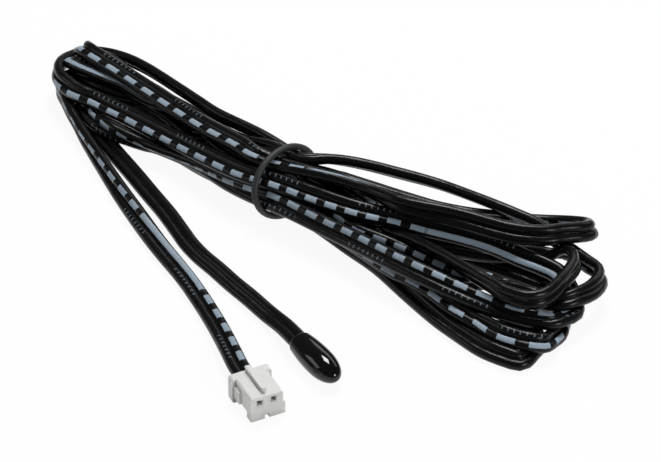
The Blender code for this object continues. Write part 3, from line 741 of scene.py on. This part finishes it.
def new_finish(name):
    """A new material and its node tree."""
    material = bpy.data.materials.new(name)
    material.use_nodes = True
    return material, material.node_tree


def finish_with(tree, **inputs):
    """Gives the tree's shader its inputs and hands the shader back."""
    shader = tree.nodes["Principled BSDF"]
    for name, value in inputs.items():
        give(tree, shader.inputs[name.replace("_", " ")], value)
    return shader


print("the finishes' helpers are ready")


# %% Arithmetic in nodes
def know(tree, name):
    """What the skin's points know by a name."""
    return node(tree, "ShaderNodeAttribute", {"attribute_name": name}).outputs["Fac"]


def calc(tree, operation, a, b=0.0, clamp=False):
    """One step of arithmetic."""
    return node(tree, "ShaderNodeMath", {"operation": operation, "use_clamp": clamp}, in0=a, in1=b).outputs[0]


def off(tree, value, middle):
    """How far a value is from a middle."""
    return calc(tree, "ABSOLUTE", calc(tree, "SUBTRACT", value, middle))


def product(tree, *values):
    """All values multiplied."""
    first, *others = values
    for value in others:
        first = calc(tree, "MULTIPLY", first, value)
    return first


print("nodes can reckon")

# %% [markdown]
# ### The ink on the cord
#
# The dashes are a thin pale ink that skips a little, and the other core bears small light marks. The
# pattern reads what each point of the skin knows: how far across and over the section it is, how
# far along the cord, the count of dashes, and whether a long line runs there. An image of the print
# would have to be unwrapped along 1.7 m of folded cord.

# %% The ink and the marks
INK_HALF_WIDTH, INK_EDGE, INK_RAGGED = 0.56, 0.06, 0.16
DASH_HALF_LENGTH, DASH_EDGE, DASH_RAGGED = 0.305, 0.02, 0.25
INK_THIN, INK_BY_WEAR = 0.82, 0.3
FACE_FROM = 0.2
MARK_EVERY, MARK_HALF_WIDTH, MARK_HALF_LENGTH, MARK_INK = 1.15, 0.11, 0.3, 0.35
GROUP_EVERY, GROUP_SHARE = 21.0, 0.42


def ink_on(tree, across, on_face, wear):
    """Where the dashes and long lines are, from 0 to 1."""
    ragged = product(tree, calc(tree, "SUBTRACT", wear, 0.5), INK_RAGGED)
    from_line = calc(tree, "ADD", off(tree, across, CORE_OFFSET), ragged)
    width = calc(tree, "DIVIDE", calc(tree, "SUBTRACT", INK_HALF_WIDTH, from_line), INK_EDGE, True)
    phase = off(tree, calc(tree, "FRACT", calc(tree, "ADD", know(tree, "beat"), 0.5)), 0.5)
    from_dash = calc(tree, "ADD", phase, product(tree, ragged, DASH_RAGGED))
    dash = calc(tree, "DIVIDE", calc(tree, "SUBTRACT", DASH_HALF_LENGTH, from_dash), DASH_EDGE, True)
    ink = product(tree, width, calc(tree, "MAXIMUM", dash, know(tree, "line")), on_face)
    thin = calc(tree, "ADD", INK_THIN, product(tree, wear, INK_BY_WEAR))
    return calc(tree, "MULTIPLY", ink, thin, True)


def marks_on(tree, across, run, on_face):
    """Where the small marks of the other core are, in groups, from 0 to 1."""
    from_mark = off(tree, calc(tree, "FRACT", calc(tree, "DIVIDE", run, MARK_EVERY)), 0.5)
    mark = calc(tree, "LESS_THAN", from_mark, MARK_HALF_WIDTH)
    in_group = calc(tree, "FRACT", calc(tree, "DIVIDE", run, GROUP_EVERY))
    group = calc(tree, "LESS_THAN", in_group, GROUP_SHARE)
    beside_line = calc(tree, "LESS_THAN", off(tree, across, -CORE_OFFSET), MARK_HALF_LENGTH)
    return product(tree, mark, group, beside_line, on_face, MARK_INK)


print("a dash takes %.0f%% of its beat" % (200 * DASH_HALF_LENGTH))

# %% [markdown]
# ### Extruded PVC
#
# Flexible PVC comes out of the die satin, with faint lines along it, a fine grain and a slow swell
# where it was bent, and it shows long soft highlights. The lines are a noise stretched along the
# cord. A bump is enough for them, because they are far thinner than the cord.

# %% Cord material
DIE_ACROSS, DIE_ALONG = 6.0, 0.05


def cord_finish():
    """Black PVC with its pale print."""
    material, tree = new_finish("extruded_pvc_printed")
    across, over, run = (know(tree, name) for name in ("across", "over", "run"))
    place = own_place(tree)
    wear = noise(tree, place, scale=1400.0, detail=3.0)
    on_face = calc(tree, "GREATER_THAN", over, FACE_FROM)
    ink = ink_on(tree, across, on_face, wear)
    printed = calc(tree, "MAXIMUM", ink, marks_on(tree, across, run, on_face))
    drawn = node(
        tree,
        "ShaderNodeCombineXYZ",
        X=product(tree, across, DIE_ACROSS),
        Y=product(tree, over, DIE_ACROSS),
        Z=product(tree, run, DIE_ALONG),
    )
    die = noise(tree, drawn.outputs[0], scale=1.0, detail=2.0)
    rough = calc(tree, "ADD", 0.21, product(tree, wear, 0.1))
    height = calc(tree, "ADD", product(tree, die, 0.7), product(tree, wear, 0.3))
    fine = relief(tree, height, strength=0.12, distance=0.0001)
    swell = noise(tree, place, scale=280.0, detail=1.0)
    both = node(tree, "ShaderNodeBump", Strength=1.0, Distance=0.00018, Height=swell, Normal=fine)
    finish_with(
        tree,
        Base_Color=mixed(tree, printed, mixed(tree, die, "#080809", "#0F1011"), "#94A3B0"),
        Roughness=calc(tree, "ADD", rough, product(tree, ink, 0.18)),
        Normal=both.outputs[0],
        IOR=1.5,
        Specular_IOR_Level=0.2,
    )
    return material


PVC = cord_finish()
print("made", PVC.name)

# %% [markdown]
# ### The section and the path
#
# The cord's section is two round cores that share a web. Section and path are plain meshes of points
# in a row. A curve object would hold them too, but its points can't carry the counts that the print
# needs.

# %% The section and the path as meshes
SECTION_POINTS = 22


def line_mesh(name, points, closed=False):
    """A mesh of points joined in a row, in metres."""
    mesh = bpy.data.meshes.new(name)
    n = len(points)
    edges = [(i, i + 1) for i in range(n - 1)] + ([(n - 1, 0)] if closed else [])
    mesh.from_pydata([tuple(float(v) * MM for v in p) for p in points], edges, [])
    return placed(name, mesh)


def knows(obj, name, values, kind="FLOAT"):
    """Gives each point of an object's mesh a value."""
    layer = obj.data.attributes.new(name, kind, "POINT")
    slot = "vector" if kind == "FLOAT_VECTOR" else "value"
    layer.data.foreach_set(slot, np.asarray(values, np.float32).ravel())


meet = math.acos(CORE_OFFSET / CORE_RADIUS)
angles = np.linspace(-math.pi + meet, math.pi - meet, SECTION_POINTS)[:-1]
right_core = [(CORE_OFFSET + CORE_RADIUS * math.cos(a), CORE_RADIUS * math.sin(a), 0) for a in angles]
outline = right_core + [(-x, -y, 0) for x, y, _ in right_core]
section = line_mesh("cord_section", outline, closed=True)
knows(section, "across", [p[0] for p in outline])
knows(section, "over", [p[1] for p in outline])

cord = line_mesh("cord_skin", middle)
knows(cord, "side", side, "FLOAT_VECTOR")
knows(cord, "run", even)
knows(cord, "beat", beats)
knows(cord, "line", line)
print("section of %d points, path of %d" % (len(outline), len(middle)))

# %% [markdown]
# ### The skin of the cord
#
# Geometry Nodes sweep well: the path's points become a curve, the curve takes its sides from the
# points, and Curve to Mesh draws the section along it. What each point knows is carried onto the
# skin for the print.

# %% The sweep as Geometry Nodes
def sweep_tree():
    """Geometry Nodes that draw a section along a path."""
    tree = bpy.data.node_groups.new("sweep_section", "GeometryNodeTree")
    for name, way, kind in (
        ("Path", "INPUT", "NodeSocketGeometry"),
        ("Section", "INPUT", "NodeSocketObject"),
        ("Finish", "INPUT", "NodeSocketMaterial"),
        ("Skin", "OUTPUT", "NodeSocketGeometry"),
    ):
        tree.interface.new_socket(name, in_out=way, socket_type=kind)
    given = node(tree, "NodeGroupInput").outputs
    curve = node(tree, "GeometryNodeMeshToCurve", Mesh=given["Path"]).outputs[0]
    sides = node(tree, "GeometryNodeInputNamedAttribute", {"data_type": "FLOAT_VECTOR"}, Name="side")
    turned = node(tree, "GeometryNodeSetCurveNormal", {"mode": "FREE"}, Curve=curve, Normal=sides.outputs[0])
    ring = node(tree, "GeometryNodeObjectInfo", Object=given["Section"]).outputs["Geometry"]
    ring = node(tree, "GeometryNodeMeshToCurve", Mesh=ring).outputs[0]
    skin = node(tree, "GeometryNodeCurveToMesh", Curve=turned.outputs[0], Profile_Curve=ring, Fill_Caps=True)
    smooth = node(tree, "GeometryNodeSetShadeSmooth", in0=skin.outputs[0]).outputs[0]
    whole = node(tree, "GeometryNodeRealizeInstances", Geometry=smooth).outputs[0]
    dressed = node(tree, "GeometryNodeSetMaterial", Geometry=whole, Material=given["Finish"])
    node(tree, "NodeGroupOutput", Skin=dressed.outputs[0])
    return tree


def grown(obj, tree, **inputs):
    """The mesh that Geometry Nodes make on an object, with the modifier taken off again."""
    modifier = obj.modifiers.new("grow", "NODES")
    modifier.node_group = tree
    for item in tree.interface.items_tree:
        if item.in_out == "INPUT" and item.name in inputs:
            modifier[item.identifier] = inputs[item.name]
    bpy.context.view_layer.update()
    mesh = bpy.data.meshes.new_from_object(obj.evaluated_get(bpy.context.evaluated_depsgraph_get()))
    obj.modifiers.remove(modifier)
    return mesh


cord.data = grown(cord, sweep_tree(), Section=section, Finish=PVC)
bpy.data.objects.remove(section, do_unlink=True)
print("cord skin: %d faces" % len(cord.data.polygons))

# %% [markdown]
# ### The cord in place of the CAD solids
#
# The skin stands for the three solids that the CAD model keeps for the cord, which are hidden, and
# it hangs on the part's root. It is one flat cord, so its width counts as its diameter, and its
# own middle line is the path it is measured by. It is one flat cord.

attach(cord, "root")
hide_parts("cord_to_bead", "cord_hank", "cord_to_connector")

# %% [markdown]
# ### The bead's cast resin
#
# The bead is dipped in black epoxy, which flows smooth and cures glossy, so it mirrors the lamps as
# sharp bright patches. A dipped skin is never perfectly even: a slow swell bends the reflections a
# little, and tiny dust marks break them. Both are noises, one broad and one very fine.

# %% Resin
def resin_finish():
    """Dipped black epoxy."""
    material, tree = new_finish("epoxy_resin_dipped")
    place = own_place(tree)
    dust = noise(tree, place, scale=5200.0, detail=2.0)
    specks = node(tree, "ShaderNodeMapRange", Value=dust, From_Min=0.68, From_Max=0.74, To_Max=0.25)
    swell = noise(tree, place, scale=260.0, detail=1.0)
    finish_with(
        tree,
        Base_Color=mixed(tree, specks.outputs[0], "#050506", "#3A3B3D"),
        Roughness=spread(tree, dust, 0.035, 0.10),
        Normal=relief(tree, swell, strength=0.25, distance=0.00012),
        IOR=1.55,
        Specular_IOR_Level=0.36,
    )
    return material


RESIN = resin_finish()
print("made", RESIN.name)

# %% [markdown]
# ### The bead as a smooth drop
#
# The solid's facets would show in such a mirror, so the bead gets a finer skin of the same size.
# Subdividing the solid would shrink it, while rings of points round its long axis follow the curve
# of the CAD model: full behind, a round nose in front, flattened a little.

# %% The bead's outline
BEAD_HALF_LENGTH, BEAD_HALF_WIDTH, BEAD_MIDDLE = 5.9, 2.65, 2.45
BEAD_FLATNESS = 0.9245
NOSE_POWER = 2.3
REAR_START, REAR_TAPER, REAR_FILLET, REAR_DROP = 5.3, 0.40, 0.6, 0.3


def drop_radius(x):
    """The bead's half width at x mm from its middle: blunt at the cord, full, then a round nose."""
    if x >= 0:
        return BEAD_HALF_WIDTH * math.sqrt(max(0.0, 1 - (x / BEAD_HALF_LENGTH) ** NOSE_POWER))
    flank = BEAD_HALF_WIDTH - REAR_TAPER * min(1.0, -x / REAR_START) ** 2
    past = min(1.0, max(0.0, (-x - REAR_START) / REAR_FILLET))
    return flank - REAR_DROP * (1 - math.sqrt(max(0.0, 1 - past**2)))


print("half width at the cord %.2f mm, at the middle %.2f mm" % (drop_radius(-REAR_START), drop_radius(0)))

# %% The bead's skin
DROP_RINGS, RING_POINTS = 64, 72


def drop_mesh():
    """Rings of points round the X axis, flattened as a dipped bead is, on the ground."""
    form = bmesh.new()
    turns = [2 * math.pi * k / RING_POINTS for k in range(RING_POINTS)]
    rings = []
    for i in range(1, DROP_RINGS):
        x = -BEAD_HALF_LENGTH * math.cos(math.pi * i / DROP_RINGS)
        wide = drop_radius(x)
        places = [(x, wide * math.cos(a), BEAD_MIDDLE + wide * BEAD_FLATNESS * math.sin(a)) for a in turns]
        rings.append([form.verts.new([v * MM for v in place]) for place in places])
    for a, b in zip(rings[:-1], rings[1:]):
        for k in range(RING_POINTS):
            form.faces.new((a[k], b[k], b[k - 1], a[k - 1]))
    for ring, x in ((rings[0], -BEAD_HALF_LENGTH), (rings[-1], BEAD_HALF_LENGTH)):
        pole = form.verts.new((x * MM, 0, BEAD_MIDDLE * MM))
        for k in range(RING_POINTS):
            form.faces.new((pole, ring[k - 1], ring[k]))
    bmesh.ops.recalc_face_normals(form, faces=form.faces)
    mesh = bpy.data.meshes.new("bead_drop")
    form.to_mesh(mesh)
    form.free()
    mesh.shade_smooth()
    mesh.materials.append(RESIN)
    return mesh


drop = placed("bead_drop", drop_mesh())
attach(drop, "root")
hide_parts("sensor_bead")
print("bead of %d faces" % len(drop.data.polygons))

# %% [markdown]
# ### The tie's rubber
#
# The tie is a loop of round rubber cord. Rubber keeps a fine grain from its mould and a little dust
# in the grain, so it looks a shade greyer and duller than the PVC beside it. The CAD solid is round
# enough as it is, so only its finish is made here.

# %% Rubber
def rubber_finish():
    """Moulded rubber with a pale bloom."""
    material, tree = new_finish("rubber_moulded_matte")
    place = own_place(tree)
    grain = noise(tree, place, scale=4200.0, detail=4.0)
    bloom = noise(tree, place, scale=420.0, detail=3.0)
    finish_with(
        tree,
        Base_Color=mixed(tree, bloom, "#191A1B", "#303233"),
        Roughness=spread(tree, grain, 0.45, 0.65),
        Normal=relief(tree, grain, strength=0.3, distance=0.00006),
    )
    return material


RUBBER = rubber_finish()
print("made", RUBBER.name)

# %% [markdown]
# ### The housing's natural nylon
#
# Undyed nylon is milky: light goes a little way in and comes out softened, so its edges glow and
# its shadows stay pale. Subsurface light does that, where a plain white would look like chalk. The
# mould leaves a faint spark-eroded texture on it.

# %% Nylon
def nylon_finish():
    """Undyed moulded nylon."""
    material, tree = new_finish("nylon_natural_moulded")
    place = own_place(tree)
    spark = noise(tree, place, scale=5000.0, detail=3.0)
    cloud = noise(tree, place, scale=350.0, detail=2.0)
    finish_with(
        tree,
        Base_Color=mixed(tree, cloud, "#D3D3D0", "#DFDFDC"),
        Roughness=spread(tree, spark, 0.34, 0.5),
        Normal=relief(tree, spark, strength=0.15, distance=0.00005),
        Subsurface_Weight=0.35,
        Subsurface_Radius=(1.0, 0.95, 0.88),
        Subsurface_Scale=0.0006,
        IOR=1.53,
    )
    return material


NYLON = nylon_finish()
print("made", NYLON.name)

# %% [markdown]
# ### The metals and the chip
#
# These finishes are hardly seen, but belong to the part: the terminals' tinned brass with the long
# scratches of the press, bare copper strands, reflowed solder that froze in soft waves, the
# sintered oxide of the chip and the plain PVC of the split core ends. A metal's colour is its
# reflection, so only grain and roughness vary. One recipe with other numbers serves them all.

# %% Metals, ceramic and plain PVC
def grained_finish(name, low, high, scale, stretch, smooth, rough, metal):
    """A finish whose tone and roughness follow one grain; stretch makes the grain long along X."""
    material, tree = new_finish(name)
    drawn = node(tree, "ShaderNodeMapping", Vector=own_place(tree), Scale=(1.0 / stretch, 1.0, 1.0))
    grain = noise(tree, drawn.outputs[0], scale=scale, detail=3.0)
    finish_with(
        tree,
        Base_Color=mixed(tree, grain, low, high),
        Roughness=spread(tree, grain, smooth, rough),
        Normal=relief(tree, grain, strength=0.2, distance=0.00004),
        Metallic=metal,
    )
    return material


BRASS = grained_finish("brass_tinned_stamped", "#BDB8AC", "#D6D2C8", 3000.0, 12.0, 0.22, 0.38, 1.0)
COPPER = grained_finish("copper_drawn_strands", "#B8714C", "#D39070", 6000.0, 6.0, 0.25, 0.42, 1.0)
SOLDER = grained_finish("solder_tin_reflowed", "#A9ACB0", "#C9CBCE", 1500.0, 1.0, 0.18, 0.34, 1.0)
CERAMIC = grained_finish("oxide_ceramic_sintered", "#2A2725", "#3B3734", 9000.0, 1.0, 0.6, 0.8, 0.0)
PVC_PLAIN = grained_finish("pvc_extruded_core", "#121315", "#1D1E21", 3000.0, 30.0, 0.30, 0.42, 0.0)
print("made %d grained finishes" % len([BRASS, COPPER, SOLDER, CERAMIC, PVC_PLAIN]))

# %% [markdown]
# ### Dressing the solids
#
# Every solid from the CAD model keeps its place and shape and takes a finish in its own slot.

# %% Dress the solids
FINISHES = {
    RESIN: ["sensor_bead"],
    CERAMIC: ["thermistor_chip"],
    SOLDER: ["chip_lead_a", "chip_lead_b", "solder_joint_a", "solder_joint_b"],
    COPPER: ["conductor_a", "conductor_b", "strand_end_a", "strand_end_b"],
    PVC_PLAIN: ["core_end_a", "core_end_b", "cord_to_bead", "cord_hank", "cord_to_connector"],
    BRASS: ["crimp_terminal_a", "crimp_terminal_b"],
    RUBBER: ["tie_ring"],
    NYLON: ["connector_housing"],
}
for finish, names in FINISHES.items():
    for name in names:
        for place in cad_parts[name].material_slots:
            place.material = finish
print("%d solids dressed" % sum(len(names) for names in FINISHES.values()))

# %% [markdown]
# ### The floor
#
# The photograph is a product picture on white. The floor is white paper that the camera and the
# mirror-like finishes see almost at full white, while it still takes a soft shadow. A floor lit to
# pure white by lamps alone would wash out the part on it.

# %% Floor
FLOOR_GLOW = 0.93
FLOOR_HALF = 2


def paper_finish():
    """White paper that glows for the rays that look at it."""
    material, tree = new_finish("paper_matte_white")
    fibre = noise(tree, own_place(tree), scale=900.0, detail=2.0)
    paper = finish_with(
        tree, Base_Color=mixed(tree, fibre, "#F4F4F4", "#FAFAFA"), Roughness=0.9, Specular_IOR_Level=0.1
    )
    ray = node(tree, "ShaderNodeLightPath").outputs
    looks = calc(tree, "MAXIMUM", ray["Is Camera Ray"], ray["Is Glossy Ray"])
    looks = calc(tree, "MAXIMUM", looks, ray["Is Transmission Ray"])
    share = product(tree, looks, FLOOR_GLOW)
    glow = node(tree, "ShaderNodeEmission", Strength=1.0, Color=(1.0, 1.0, 1.0, 1.0))
    both = node(tree, "ShaderNodeMixShader", in0=share, in1=paper.outputs[0], in2=glow.outputs[0])
    give(tree, tree.nodes["Material Output"].inputs["Surface"], both.outputs[0])
    return material


corners = [(x * FLOOR_HALF, y * FLOOR_HALF, 0) for x, y in ((-1, -1), (1, -1), (1, 1), (-1, 1))]
floor_mesh = bpy.data.meshes.new("paper")
floor_mesh.from_pydata(corners, [], [(0, 1, 2, 3)])
floor_mesh.materials.append(paper_finish())
floor = placed("paper", floor_mesh)
print("floor of %d m" % (2 * FLOOR_HALF))

# %% [markdown]
# ### The lamps
#
# Large soft lamps stand round the part. The glossy bead and the satin cord mirror them, so their
# sizes and places are read from the photograph's highlights. Point lamps would leave only pinpricks
# on the cord.

# %% Lamps
LAMP_AIM = Vector((-0.03, 0.02, 0))


def softbox(name, turn, rise, away, width, height, power):
    """A soft lamp: turn degrees to the right of the camera, rise degrees above the floor."""
    data = bpy.data.lights.new(name, "AREA")
    data.shape = "RECTANGLE"
    data.size, data.size_y, data.energy = width, height, power
    bearing = math.atan2(TOWARD[1], TOWARD[0]) + math.radians(turn)
    flat = math.cos(math.radians(rise))
    way = Vector((math.cos(bearing) * flat, math.sin(bearing) * flat, math.sin(math.radians(rise))))
    lamp = placed(name, data)
    lamp.rotation_euler = way.to_track_quat("Z", "Y").to_euler()
    lamp.location = LAMP_AIM + way * away


softbox("overhead", 172, 66, 0.9, 0.3, 0.3, 6.0)
softbox("right_window", 42, 26, 0.7, 0.2, 0.2, 1.6)
softbox("left_wall", -88, 26, 0.9, 0.45, 0.3, 0.8)
softbox("far_wall", 150, 30, 1.0, 0.9, 0.3, 1.2)

world = bpy.data.worlds.new("studio")
world.use_nodes = True
bpy.context.scene.world = world
sky = world.node_tree.nodes["Background"]
sky.inputs["Color"].default_value = shade("#FFFFFF")
sky.inputs["Strength"].default_value = 0.12
bpy.context.scene.view_settings.view_transform = "Standard"
print("4 lamps and a dim white studio")
